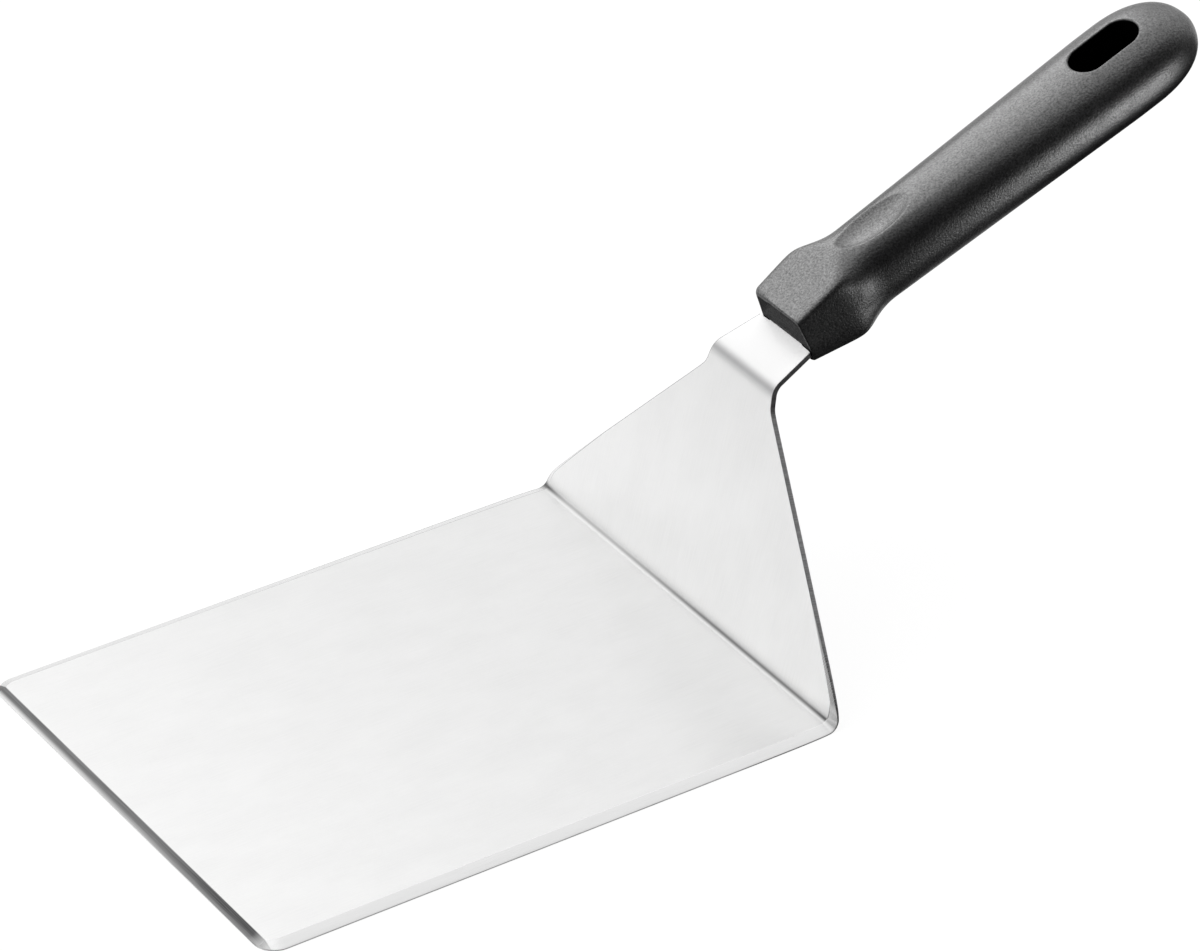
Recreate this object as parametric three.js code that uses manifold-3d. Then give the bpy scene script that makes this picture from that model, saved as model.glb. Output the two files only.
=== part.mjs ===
// Barbecue spatula: one bent sheet of steel, and a plastic handle moulded round its tang.
// Millimetres, +Z up. The origin is the middle of the blade's underside. +X runs from the
// front edge towards the handle, and +Y across the blade.

import * as THREE from 'three';
import { mergeVertices } from 'three/addons/utils/BufferGeometryUtils.js';
import Module from 'manifold-3d';

const wasm = await Module();
wasm.setup();

// Steel sheet
const SHEET = 1.5; // thickness
const BLADE_LENGTH = 160; // front edge to the fold line, on the upper face
const BLADE_WIDTH = 130;
const CORNER_RADIUS = 5.8; // front corners, seen from above
const SIDE_BEVEL = 2.9; // width of the ground bevel along each side
const FRONT_BEVEL = 2.2; // width of the ground bevel along the front
const EDGE_LAND = 0.25; // steel left under the bevels
const EDGE_BREAK = 0.12; // the small break that every cut edge has
const RISER_BEVEL = 1.4; // width that the side bevels narrow to past the fold
const RISER_BEVEL_DEPTH = 0.85; // and their depth there
const BEVEL_STEP = 5; // length over which they narrow to that
const BEVEL_RISE = 24; // how far up the riser they fade out
const FOLD_ANGLE = 75.2; // riser above the blade, in degrees
const FOLD_RADIUS = 1.8; // inside radius, on the upper face
const RISER_LENGTH = 65.7; // fold line to bend line, on the upper face
const BEND_RADIUS = 4.7; // outside radius, on the upper face
const SLANT_START = 2.1; // past the fold line, where the riser's slanted sides begin
const SLANT_ANGLE = 41.5; // between those sides and the middle line, in degrees
const SLANT_ROUNDING = 1.4; // how far the curve from the blade's side to the riser's clears the sharp corner
const SLANT_REACH = 20; // length of that curve before the fold
const TANG_WIDTH = 21.5; // at the handle's front face
const TANG_TAPER = 0.155; // how fast each side of the tang widens towards the riser
const TANG_SHOWN = 13.6; // bend line to the handle's front face
const SHOULDER_ROUNDING = 0.3; // how far the curve from the riser to the tang clears the sharp corner
const SHOULDER_REACH = 5; // length of that curve each way from the corner
const SHOULDER_SLOPE = 0.15; // length of the step down to the held part of the tang
const HELD_WIDTH = 14; // the part of the tang inside the handle
const HELD_LENGTH = 72;
const HELD_END_RADIUS = 4;
const ANCHOR_HOLE = 6; // diameter of the holes that the plastic flows through
const ANCHOR_PLACES = [22, 50]; // from the handle's front face

// Handle
const HANDLE_ANGLE = 21.9; // above the blade, in degrees, the same for the tang
const HANDLE_LENGTH = 130.1;
const AXIS_ABOVE_TANG = 2; // handle's axis above the tang's upper face
const GRIP_HEIGHT = 20.4;
const NECK_WIDTH = 20.55; // just behind the bolster
const NECK_PLACE = 22; // where the grip starts to widen
const END_WIDTH = 26.9; // at the hanging slot
const WIDEST_PLACE = 104; // where the grip reaches that width
const END_ROUNDING = 20.4; // length over which the end closes
const END_FULLNESS = 2.3; // exponent of the curve that it closes by
const GRIP_SQUARENESS = 2.4; // exponent of the grip's superellipse
const FRONT_EDGE_BREAK = 0.5; // the break round the handle's front face

// Bolster: flat facets that spread from the front face, given by their distance from the
// handle's axis at the front face and by how fast that distance grows along the axis.
const TOP_FACET = { tilt: 90, distance: 7.1, spread: 0.213 };
const SIDE_FACET = { tilt: 8.6, distance: 10.55, spread: 0.076 };
const LOWER_FACET = { tilt: -49.5, distance: 11.04, spread: 0.191 };
const BOTTOM_FACET = { tilt: -90, distance: 6.58, spread: 0.199 };
const BOLSTER_FACETS = [TOP_FACET, SIDE_FACET, LOWER_FACET, BOTTOM_FACET];
const BOLSTER_LENGTH = 18; // the side facets let go of the grip behind this
const BOLSTER_RELEASE = 0.4;
const CREASE_SHARPNESS = 15; // higher makes the creases between facets crisper
// Concave flare from the grip up to the bolster's rear ridge, as a share of the grip's size.
const UPPER_FLARE = { share: 0.35, from: 13, to: 25.8 };
const LOWER_FLARE = { share: 0.367, from: 15, to: 27.4 };
const FLARE_BLEND_TOP = -0.12; // sine of the section angle where the lower flare starts
const FLARE_BLEND_LOW = -0.48; // and where it is full

// Hanging slot and thumb dimple
const SLOT_LENGTH = 20.1;
const SLOT_WIDTH = 9.8;
const SLOT_PLACE = 106.35; // its middle, from the handle's front face
const DIMPLE_PLACE = 32.5;
const DIMPLE_LENGTH = 21.3;
const DIMPLE_WIDTH = 11.4;
const DIMPLE_DEPTH = 1.6;

// Fits
const MOULD_CLEARANCE = 0.3; // between the steel and the plastic moulded round it

// Fineness of the curved surfaces
const CORNER_STEPS = 5;
const BEND_STEPS = 7;
const RUNOUT_STEPS = 6;
const HANDLE_RINGS = 48; // a multiple of four
const HANDLE_SIDES = 48;
const ROUND_SIDES = 24;
const TIP_SHARE = 0.001; // of the end's rounding, left open for the last ring before its tip

const radians = THREE.MathUtils.degToRad;
const smoothstep = THREE.MathUtils.smoothstep;
const lerp = THREE.MathUtils.lerp;

// Closed geometry and solids

// Joins rings of equal length into one closed skin, with a fan over each end.
function loft(rings) {
  const sides = rings[0].length;
  const points = rings.flat();
  const triangles = [];
  for (let ring = 0; ring + 1 < rings.length; ring += 1) {
    for (let side = 0; side < sides; side += 1) {
      const next = (side + 1) % sides;
      const a = ring * sides + side;
      const b = ring * sides + next;
      const c = a + sides;
      const d = b + sides;
      triangles.push(a, b, d, a, d, c);
    }
  }
  closeEnd(points, triangles, rings[0], 0, false);
  closeEnd(points, triangles, rings.at(-1), (rings.length - 1) * sides, true);
  const geometry = new THREE.BufferGeometry();
  geometry.setFromPoints(points);
  geometry.setIndex(triangles);
  return geometry;
}

function closeEnd(points, triangles, ring, first, outward) {
  const middle = new THREE.Vector3();
  ring.forEach((point) => middle.addScaledVector(point, 1 / ring.length));
  const centre = points.push(middle) - 1;
  ring.forEach((point, side) => {
    const a = first + side;
    const b = first + ((side + 1) % ring.length);
    if (outward) {
      triangles.push(centre, a, b);
    } else {
      triangles.push(centre, b, a);
    }
  });
}

function toSolid(geometry) {
  const bare = geometry.clone();
  bare.deleteAttribute('normal');
  bare.deleteAttribute('uv');
  const merged = mergeVertices(bare, 1e-5);
  const mesh = new wasm.Mesh({
    numProp: 3,
    vertProperties: new Float32Array(merged.attributes.position.array),
    triVerts: new Uint32Array(merged.index.array),
  });
  return new wasm.Manifold(mesh);
}

function toGeometry(solid) {
  const mesh = solid.getMesh();
  const geometry = new THREE.BufferGeometry();
  geometry.setAttribute('position', new THREE.BufferAttribute(mesh.vertProperties, 3));
  geometry.setIndex(new THREE.BufferAttribute(mesh.triVerts, 1));
  geometry.computeVertexNormals();
  return geometry;
}

// Evenly spread values from one end to the other, both included.
function spread(start, end, steps) {
  return Array.from({ length: steps + 1 }, (_, step) => lerp(start, end, step / steps));
}

// Steel sheet

const foldAngle = radians(FOLD_ANGLE);
const tangAngle = radians(HANDLE_ANGLE);
const foldReach = FOLD_RADIUS * Math.tan(foldAngle / 2);
const bendReach = BEND_RADIUS * Math.tan((foldAngle - tangAngle) / 2);
const foldPlace = BLADE_LENGTH;
const bendPlace = foldPlace + RISER_LENGTH;
const handlePlace = bendPlace + TANG_SHOWN;
const sheetEnd = handlePlace + HELD_LENGTH;
const slantPlace = foldPlace + SLANT_START;
const slantGrowth = Math.tan(radians(SLANT_ANGLE));
const tangAtSlant = TANG_WIDTH / 2 + TANG_TAPER * (handlePlace - slantPlace);
const shoulderPlace = slantPlace + (BLADE_WIDTH / 2 - tangAtSlant) / (slantGrowth - TANG_TAPER);
const stepPlace = handlePlace - MOULD_CLEARANCE;
const bevelDepth = SHEET - EDGE_LAND - EDGE_BREAK;

// A point and the upward normal on the sheet's upper face, at a distance from the front
// edge that is measured along the sharp lines where the flat faces would meet.
function sheetFrame(place) {
  const bladeFront = new THREE.Vector3(-BLADE_LENGTH / 2, 0, SHEET);
  const along = (angle) => new THREE.Vector3(Math.cos(angle), 0, Math.sin(angle));
  const above = (angle) => new THREE.Vector3(-Math.sin(angle), 0, Math.cos(angle));
  const foldLine = bladeFront.clone().addScaledVector(along(0), foldPlace);
  const bendLine = foldLine.clone().addScaledVector(along(foldAngle), RISER_LENGTH);
  if (place <= foldPlace - foldReach) {
    return { point: bladeFront.addScaledVector(along(0), place), normal: above(0) };
  }
  if (place < foldPlace + foldReach) {
    const share = (place - foldPlace + foldReach) / (2 * foldReach);
    const angle = foldAngle * share;
    const centre = foldLine.addScaledVector(along(0), -foldReach).addScaledVector(above(0), FOLD_RADIUS);
    return { point: centre.addScaledVector(above(angle), -FOLD_RADIUS), normal: above(angle) };
  }
  if (place <= bendPlace - bendReach) {
    return { point: foldLine.addScaledVector(along(foldAngle), place - foldPlace), normal: above(foldAngle) };
  }
  if (place < bendPlace + bendReach) {
    const share = (place - bendPlace + bendReach) / (2 * bendReach);
    const angle = lerp(foldAngle, tangAngle, share);
    const start = bendLine.addScaledVector(along(foldAngle), -bendReach);
    const centre = start.addScaledVector(above(foldAngle), -BEND_RADIUS);
    return { point: centre.addScaledVector(above(angle), BEND_RADIUS), normal: above(angle) };
  }
  return { point: bendLine.addScaledVector(along(tangAngle), place - bendPlace), normal: above(tangAngle) };
}

// How far a round corner draws an outline in, at a distance from the end of the outline.
function cornerInset(distance, radius) {
  const short = Math.max(radius - distance, 0);
  return radius - Math.sqrt(radius * radius - short * short);
}

// Half the sheet's width at each place along it.
function halfWidth(place) {
  const blade = BLADE_WIDTH / 2;
  const held = HELD_WIDTH / 2;
  if (place > stepPlace) {
    return held - cornerInset(sheetEnd - place, HELD_END_RADIUS);
  }
  const slant = blade - slantGrowth * (place - slantPlace);
  const side = (blade + slant) / 2 - Math.hypot((blade - slant) / 2, SLANT_ROUNDING);
  const tang = TANG_WIDTH / 2 + TANG_TAPER * (handlePlace - place);
  const outer = (side + tang) / 2 + Math.hypot((side - tang) / 2, SHOULDER_ROUNDING);
  const step = THREE.MathUtils.clamp((place - stepPlace) / SHOULDER_SLOPE + 1, 0, 1);
  return lerp(outer, held, step) - cornerInset(place, CORNER_RADIUS);
}

// Depth and width of the bevel ground on the sheet's sides.
function sideBevel(place) {
  const past = Math.max(place - foldPlace, 0);
  const step = Math.max(1 - past / BEVEL_STEP, 0);
  const left = Math.max(1 - past / BEVEL_RISE, 0);
  return {
    depth: RISER_BEVEL_DEPTH * left + (bevelDepth - RISER_BEVEL_DEPTH) * step,
    width: RISER_BEVEL * left + (SIDE_BEVEL - RISER_BEVEL) * step,
  };
}

// The sheet's section at one place: upper face, bevelled edges and flat underside.
function sheetRing(place) {
  const { point, normal } = sheetFrame(place);
  const rim = halfWidth(place);
  const side = sideBevel(place);
  const front = bevelDepth * Math.max(1 - place / FRONT_BEVEL, 0);
  const rimDepth = Math.max(side.depth, front) + EDGE_BREAK;
  const faceEdge = rim - side.width * (1 - front / bevelDepth) - EDGE_BREAK;
  const section = [
    [faceEdge, front],
    [-faceEdge, front],
    [-rim, rimDepth],
    [-rim, SHEET],
    [rim, SHEET],
    [rim, rimDepth],
  ];
  return section.map(([across, depth]) => {
    const corner = point.clone().addScaledVector(normal, -depth);
    corner.y = across;
    return corner;
  });
}

function sheetPlaces() {
  const places = [
    ...spread(0, 1, CORNER_STEPS).map((share) => CORNER_RADIUS * share * share),
    FRONT_BEVEL,
    ...spread(foldPlace - SLANT_REACH, foldPlace - foldReach, RUNOUT_STEPS),
    ...spread(foldPlace - foldReach, foldPlace + foldReach, BEND_STEPS),
    ...spread(foldPlace + foldReach, foldPlace + BEVEL_STEP, RUNOUT_STEPS),
    ...spread(foldPlace + BEVEL_STEP, foldPlace + BEVEL_RISE, RUNOUT_STEPS),
    ...spread(shoulderPlace - SHOULDER_REACH, shoulderPlace + SHOULDER_REACH, BEND_STEPS),
    ...spread(bendPlace - bendReach, bendPlace + bendReach, BEND_STEPS),
    stepPlace - SHOULDER_SLOPE,
    stepPlace,
    ...spread(0, 1, CORNER_STEPS).map((share) => sheetEnd - HELD_END_RADIUS * share * share),
  ];
  const least = 0.01;
  const sorted = places.sort((a, b) => a - b);
  return sorted.filter((place, index) => index === 0 || place - sorted[index - 1] > least);
}

// Moves a shape made in the handle's own frame (+X along the handle, +Z up through the
// slot, origin on its axis at the front face) to its place on the tang.
const handleSeat = sheetFrame(handlePlace);
const handleOrigin = handleSeat.point.clone().addScaledVector(handleSeat.normal, AXIS_ABOVE_TANG);
const handlePlacing = new THREE.Matrix4()
  .makeRotationY(-tangAngle)
  .setPosition(handleOrigin.x, handleOrigin.y, handleOrigin.z);

// An upright round bar through the handle's axis.
function uprightBar(diameter, height, place) {
  const bar = new THREE.CylinderGeometry(diameter / 2, diameter / 2, height, ROUND_SIDES);
  bar.rotateX(Math.PI / 2);
  bar.translate(place, 0, 0);
  return bar;
}

function makeBlade() {
  const sheet = toSolid(loft(sheetPlaces().map(sheetRing)));
  const holes = ANCHOR_PLACES.map((place) =>
    toSolid(uprightBar(ANCHOR_HOLE, GRIP_HEIGHT, place).applyMatrix4(handlePlacing)),
  );
  return toGeometry(holes.reduce((solid, hole) => solid.subtract(hole), sheet));
}

// Handle

// Half the grip's width along the handle: a straight taper from the neck to the widest place.
function gripHalfWidth(along) {
  const taper = THREE.MathUtils.clamp((along - NECK_PLACE) / (WIDEST_PLACE - NECK_PLACE), 0, 1);
  return lerp(NECK_WIDTH, END_WIDTH, taper) / 2;
}

// What the flare behind the bolster adds to the grip's size, as a share of it.
function flareShare(along, sine) {
  const part = ({ share, from, to }) => share * (Math.max(to - along, 0) / (to - from)) ** 2;
  const low = smoothstep(-sine, -FLARE_BLEND_TOP, -FLARE_BLEND_LOW);
  return lerp(part(UPPER_FLARE), part(LOWER_FLARE), low);
}

// Distance from the axis to the handle's surface. It is the nearest of the flared grip and
// the bolster's facets, with the creases between them slightly rounded.
function handleRadius(along, angle) {
  const cosine = Math.abs(Math.cos(angle));
  const sine = Math.sin(angle);
  const width = cosine / gripHalfWidth(along);
  const height = Math.abs(sine) / (GRIP_HEIGHT / 2);
  const grip = (width ** GRIP_SQUARENESS + height ** GRIP_SQUARENESS) ** (-1 / GRIP_SQUARENESS);
  const limits = [grip * (1 + flareShare(along, sine))];
  const release = BOLSTER_RELEASE * Math.max(along - BOLSTER_LENGTH, 0);
  BOLSTER_FACETS.forEach(({ tilt, distance, spread: growth }) => {
    const facing = cosine * Math.cos(radians(tilt)) + sine * Math.sin(radians(tilt));
    if (facing > 0) {
      limits.push((distance + growth * along + release) / facing);
    }
  });
  const sum = limits.reduce((total, limit) => total + limit ** -CREASE_SHARPNESS, 0);
  return sum ** (-1 / CREASE_SHARPNESS);
}

// How much of its section the handle keeps at each place: the far end closes in a full curve.
function sectionShare(along) {
  const closing = Math.max((along - HANDLE_LENGTH + END_ROUNDING) / END_ROUNDING, 0);
  return Math.max(1 - closing ** END_FULLNESS, 0) ** (1 / END_FULLNESS);
}

function handleRing(along) {
  const front = Math.max(FRONT_EDGE_BREAK - along, 0);
  return Array.from({ length: HANDLE_SIDES }, (_, side) => {
    const angle = (2 * Math.PI * side) / HANDLE_SIDES;
    const radius = handleRadius(along, angle) * sectionShare(along) - front;
    return new THREE.Vector3(along, radius * Math.cos(angle), radius * Math.sin(angle));
  });
}

function handlePlaces() {
  const closed = HANDLE_LENGTH - END_ROUNDING;
  const shares = spread(0, 1, HANDLE_RINGS / 4).slice(1, -1);
  return [
    0,
    FRONT_EDGE_BREAK,
    ...spread(FRONT_EDGE_BREAK, LOWER_FLARE.to, HANDLE_RINGS / 2).slice(1),
    ...spread(LOWER_FLARE.to, closed, HANDLE_RINGS / 4).slice(1),
    ...shares.map((share) => closed + END_ROUNDING * Math.sin((share * Math.PI) / 2)),
    HANDLE_LENGTH - END_ROUNDING * TIP_SHARE,
  ];
}

// A flat outline pushed up through a height, centred on a level.
function upright(shape, height, level) {
  const solid = new THREE.ExtrudeGeometry(shape, {
    depth: height,
    bevelEnabled: false,
    curveSegments: ROUND_SIDES / 2,
  });
  solid.translate(0, 0, level - height / 2);
  return solid;
}

// The room for the held tang, open at the front face.
function tangPocket() {
  const half = HELD_WIDTH / 2 + MOULD_CLEARANCE;
  const end = HELD_LENGTH + MOULD_CLEARANCE;
  const radius = HELD_END_RADIUS + MOULD_CLEARANCE;
  const mouth = -FRONT_EDGE_BREAK - MOULD_CLEARANCE;
  const outline = new THREE.Shape();
  outline.moveTo(mouth, -half);
  outline.lineTo(end - radius, -half);
  outline.absarc(end - radius, radius - half, radius, -Math.PI / 2, 0, false);
  outline.absarc(end - radius, half - radius, radius, 0, Math.PI / 2, false);
  outline.lineTo(mouth, half);
  outline.closePath();
  return upright(outline, SHEET + 2 * MOULD_CLEARANCE, -AXIS_ABOVE_TANG - SHEET / 2);
}

function hangingSlot() {
  const radius = SLOT_WIDTH / 2;
  const reach = (SLOT_LENGTH - SLOT_WIDTH) / 2;
  const outline = new THREE.Shape();
  outline.absarc(SLOT_PLACE + reach, 0, radius, -Math.PI / 2, Math.PI / 2, false);
  outline.absarc(SLOT_PLACE - reach, 0, radius, Math.PI / 2, (3 * Math.PI) / 2, false);
  outline.closePath();
  return upright(outline, 2 * GRIP_HEIGHT, 0);
}

// An ellipsoid whose cap, of the dimple's length, width and depth, sinks into the top.
function thumbDimple() {
  const capShare = 0.5; // depth of the cap, as a share of the ellipsoid's upright half-axis
  const rimShare = Math.sqrt(1 - (1 - capShare) ** 2);
  const upright = DIMPLE_DEPTH / capShare;
  const ball = new THREE.SphereGeometry(1, ROUND_SIDES, ROUND_SIDES / 2);
  ball.scale(DIMPLE_LENGTH / 2 / rimShare, DIMPLE_WIDTH / 2 / rimShare, upright);
  ball.translate(DIMPLE_PLACE, 0, GRIP_HEIGHT / 2 + upright - DIMPLE_DEPTH);
  return ball;
}

function makeHandle() {
  const body = toSolid(loft(handlePlaces().map(handleRing)));
  const pegs = ANCHOR_PLACES.map((place) =>
    toSolid(uprightBar(ANCHOR_HOLE - 2 * MOULD_CLEARANCE, GRIP_HEIGHT, place)),
  );
  const pocket = pegs.reduce((room, peg) => room.subtract(peg), toSolid(tangPocket()));
  const cuts = [pocket, toSolid(hangingSlot()), toSolid(thumbDimple())];
  return toGeometry(cuts.reduce((solid, cut) => solid.subtract(cut), body));
}

// Assembly

const brushedSteel = new THREE.MeshStandardMaterial({ color: 0xe4e4e2, roughness: 0.35, metalness: 1 });
const blackPlastic = new THREE.MeshStandardMaterial({ color: 0x242526, roughness: 0.55, metalness: 0 });

const blade = new THREE.Mesh(makeBlade(), brushedSteel);
blade.name = 'blade';

const handle = new THREE.Mesh(makeHandle(), blackPlastic);
handle.name = 'handle';
handle.position.copy(handleOrigin);
handle.rotation.y = -tangAngle;

const spatula = new THREE.Group();
spatula.add(blade, handle);

export default spatula;
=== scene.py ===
"""Barbecue spatula: the looks of its bent steel sheet and its moulded handle, on a white stage."""

import math

import bpy
import numpy as np
from bpy.props import FloatProperty, FloatVectorProperty, PointerProperty
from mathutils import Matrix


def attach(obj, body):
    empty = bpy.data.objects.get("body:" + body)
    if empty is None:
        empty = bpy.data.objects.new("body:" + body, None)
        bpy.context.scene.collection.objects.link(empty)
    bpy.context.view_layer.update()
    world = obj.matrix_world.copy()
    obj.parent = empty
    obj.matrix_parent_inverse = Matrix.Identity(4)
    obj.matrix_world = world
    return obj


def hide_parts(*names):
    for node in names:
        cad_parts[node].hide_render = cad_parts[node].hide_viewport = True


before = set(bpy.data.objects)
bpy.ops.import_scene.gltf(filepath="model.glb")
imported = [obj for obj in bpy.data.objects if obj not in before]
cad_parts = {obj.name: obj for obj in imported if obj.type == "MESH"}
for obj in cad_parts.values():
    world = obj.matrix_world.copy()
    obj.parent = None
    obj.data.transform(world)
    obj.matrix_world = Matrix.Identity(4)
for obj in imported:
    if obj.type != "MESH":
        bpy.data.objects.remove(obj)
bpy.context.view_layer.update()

bl_info = {
    "name": "Barbecue Spatula",
    "version": (1, 0, 0),
    "blender": (4, 5, 0),
    "location": "3D View > Sidebar > Spatula",
    "description": "Makes a barbecue spatula from one bent steel sheet and one moulded handle",
    "category": "Add Mesh",
}

MM = 0.001
QUARTER = math.pi / 2
# Keeps a divisor above zero.
TINY = 1e-9


def length(name, description, millimetres):
    """A size that a user may change, given in millimetres and kept in metres."""
    return FloatProperty(
        name=name, description=description, default=millimetres * MM, unit="LENGTH", precision=5
    )


def angle(name, description, degrees):
    """An angle that a user may change, given in degrees."""
    return FloatProperty(
        name=name, description=description, default=math.radians(degrees), subtype="ANGLE"
    )


def share(name, description, value, unit="NONE"):
    """A plain number that a user may change, with a unit where it has one."""
    return FloatProperty(name=name, description=description, default=value, precision=4, unit=unit)


def colour(name, description, value):
    """A linear colour that a user may change."""
    return FloatVectorProperty(
        name=name, description=description, default=value, size=3, min=0, max=1, subtype="COLOR"
    )


# Settings

# Further on, s stands for the sheet's settings, h for the handle's and g for the stage's.


class SheetSettings(bpy.types.PropertyGroup):
    """Sizes and colours of the bent steel sheet."""

    sheet: length("Sheet", "Thickness of the steel", 1.5)
    blade_length: length("Blade Length", "Front edge to the fold line", 160)
    blade_width: length("Blade Width", "Across the blade", 130)
    corner_radius: length("Corner Radius", "Front corners, seen from above", 5.8)
    side_bevel: length("Side Bevel", "Width of the bevel along each side", 2.9)
    front_bevel: length("Front Bevel", "Width of the bevel along the front", 2.2)
    edge_land: length("Edge Land", "Steel left under the bevels", 0.25)
    edge_break: length("Edge Break", "Small break of every cut edge", 0.12)
    riser_bevel: length("Riser Bevel", "Width that the side bevels narrow to past the fold", 1.4)
    riser_bevel_depth: length("Riser Bevel Depth", "Their depth there", 0.85)
    bevel_step: length("Bevel Step", "Length over which they narrow to that", 5)
    bevel_rise: length("Bevel Rise", "How far up the riser the bevels fade out", 24)
    fold_angle: angle("Fold Angle", "Riser above the blade", 75.2)
    fold_radius: length("Fold Radius", "Inside radius of the fold", 1.8)
    riser_length: length("Riser Length", "Fold line to bend line", 65.7)
    bend_radius: length("Bend Radius", "Outside radius of the bend", 4.7)
    slant_start: length("Slant Start", "Past the fold line, where the slanted sides begin", 2.1)
    slant_angle: angle("Slant Angle", "Slanted sides to the middle line", 41.5)
    slant_rounding: length("Slant Rounding", "Curve from the blade's side to the riser's", 1.4)
    tang_angle: angle("Tang Angle", "Tang and handle above the blade", 21.9)
    tang_width: length("Tang Width", "At the handle's front face", 21.5)
    tang_taper: share("Tang Taper", "How fast the tang widens towards the riser", 0.155)
    tang_shown: length("Tang Shown", "Bend line to the handle's front face", 13.6)
    shoulder_rounding: length("Shoulder Rounding", "Curve from the riser to the tang", 0.3)
    shoulder_slope: length("Shoulder Slope", "Length of the step to the held tang", 0.15)
    held_width: length("Held Width", "Tang inside the handle", 14)
    held_length: length("Held Length", "Tang inside the handle", 72)
    held_radius: length("Held End Radius", "Corners of the tang's end", 4)
    steel: colour("Steel", "Brushed faces", (0.92, 0.92, 0.918))
    bevel_steel: colour("Bevel Steel", "Ground side bevels", (0.82, 0.82, 0.82))
    # The front bevel's near black tone is painted shade, which stands in for the dark surroundings it
    # reflects.
    front_bevel_shade_tone: colour("Front Steel", "Coarsely ground front bevel", (0.085, 0.085, 0.087))
    # The cut edges' darker, streaked tone is painted shade.
    cut_edge_shade: colour("Edge Steel", "Cut edges", (0.74, 0.74, 0.745))
    # The fold's near black is painted shade.
    fold_painted_shade: colour("Fold Steel", "Middle of the fold", (0.06, 0.06, 0.061))
    # The bend's grey is painted shade.
    bend_painted_shade: colour("Bend Steel", "Middle of the bend", (0.4, 0.4, 0.404))
    # The tang's near white colour is painted light, which stands in for its bright reflection.
    tang_painted_light: colour("Tang Steel", "Satin tang", (0.99, 0.99, 0.99))


class HandleSettings(bpy.types.PropertyGroup):
    """Sizes and colours of the moulded handle."""

    length: length("Handle Length", "Front face to the tip", 130.06)
    axis_above: length("Axis Above Tang", "Handle's axis above the tang", 2)
    grip_height: length("Grip Height", "Top to bottom", 20.4)
    neck_width: length("Neck Width", "Just behind the bolster", 20.55)
    neck_place: length("Neck Place", "Where the grip starts to widen", 22)
    end_width: length("End Width", "At the hanging slot", 26.9)
    widest: length("Widest Place", "Where the grip is widest", 104)
    end_rounding: length("End Rounding", "Length over which the end closes", 20.4)
    end_fullness: share("End Fullness", "Exponent of the curve that the end closes by", 2.3)
    squareness: share("Grip Squareness", "Exponent of the grip's section", 2.4)
    front_break: length("Front Edge Break", "Break round the front face", 0.5)
    bolster_length: length("Bolster Length", "The side facets let go behind this", 18)
    slot_length: length("Slot Length", "Hanging slot", 20.1)
    slot_width: length("Slot Width", "Hanging slot", 9.8)
    slot_place: length("Slot Place", "Middle of the slot from the front face", 106.35)
    slot_rim: length("Slot Rim", "Rounding of the slot's mouths", 0.6)
    dimple_place: length("Dimple Place", "Middle of the dimple from the front face", 32.5)
    dimple_length: length("Dimple Length", "Along the handle", 21.3)
    dimple_width: length("Dimple Width", "Across the handle", 11.4)
    dimple_depth: length("Dimple Depth", "Below the top of the grip", 1.6)
    clearance: length("Mould Clearance", "Between the tang and its pocket", 0.3)
    plastic: colour("Plastic", "Moulded plastic", (0.008, 0.008, 0.0085))
    # The slot's near black inside is painted shade.
    slot_painted_shade: colour("Slot Plastic", "Inside the hanging slot", (0.001, 0.001, 0.001))
    grain: length("Grain", "Size of the moulded grain", 0.5)


class StageSettings(bpy.types.PropertyGroup):
    """Camera, light and floor."""

    camera_place: FloatVectorProperty(
        name="Camera Place", description="Where the camera stands",
        default=(-0.69944, -1.13836, 0.94322), size=3, subtype="TRANSLATION", unit="LENGTH",
    )
    camera_heading: angle("Camera Heading", "Right of +Y", 33.537)
    camera_dip: angle("Camera Dip", "Below the horizon", 33.245)
    camera_lens: share("Camera Lens", "Focal length in millimetres", 202.5, "CAMERA")
    key_power: share("Key Power", "Softbox behind the handle", 2.2, "POWER")
    left_power: share("Left Power", "Softbox behind the handle on the left", 1.75, "POWER")
    strip_power: share("Strip Power", "Low strip beside the handle", 0.19, "POWER")
    fill_power: share("Fill Power", "Softbox at the camera's left for the sheet", 6.9, "POWER")
    floor_white: colour("Floor", "Floor and backdrop", (0.93, 0.93, 0.93))


# Meshes

# A soft corner reaches at most this share of the way to its neighbours.
CORNER_LIMIT = 0.45


def soft_corner(before, corner, after, reach, steps):
    """Cuts a corner by a quadratic curve. The curve starts and ends at the reach from the corner, or
    nearer where its neighbours are close. The points come as arrays of places by two."""
    def toward(other):
        way = other - corner
        size = np.linalg.norm(way, axis=-1, keepdims=True)
        return corner + way * np.minimum(reach / np.maximum(size, TINY), CORNER_LIMIT)
    start = toward(before)[:, None]
    end = toward(after)[:, None]
    t = np.linspace(0, 1, steps)[None, :, None]
    return (1 - t) ** 2 * start + 2 * t * (1 - t) * corner[:, None] + t ** 2 * end


def grid_quads(rows, columns, wrap):
    """Corner numbers of the quads of a grid, whose last column joins its first if it wraps."""
    row = np.arange(rows - 1)[:, None]
    column = np.arange(columns if wrap else columns - 1)[None, :]
    after = (column + 1) % columns
    corners = (row * columns + column, row * columns + after)
    return np.stack([*corners, corners[1] + columns, corners[0] + columns], axis=-1).reshape(-1, 4)


def corner_inset(distance, radius):
    """How far a round corner draws an outline in, at a distance from the end of the outline."""
    short = np.clip(radius - distance, 0, radius)
    return radius - np.sqrt(radius ** 2 - short ** 2)


def smooth_step(value, low, high):
    """0 below low, 1 above high, and the cubic 3t^2 - 2t^3 between them."""
    t = np.clip((value - low) / (high - low), 0, 1)
    return t * t * (3 - 2 * t)


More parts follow.
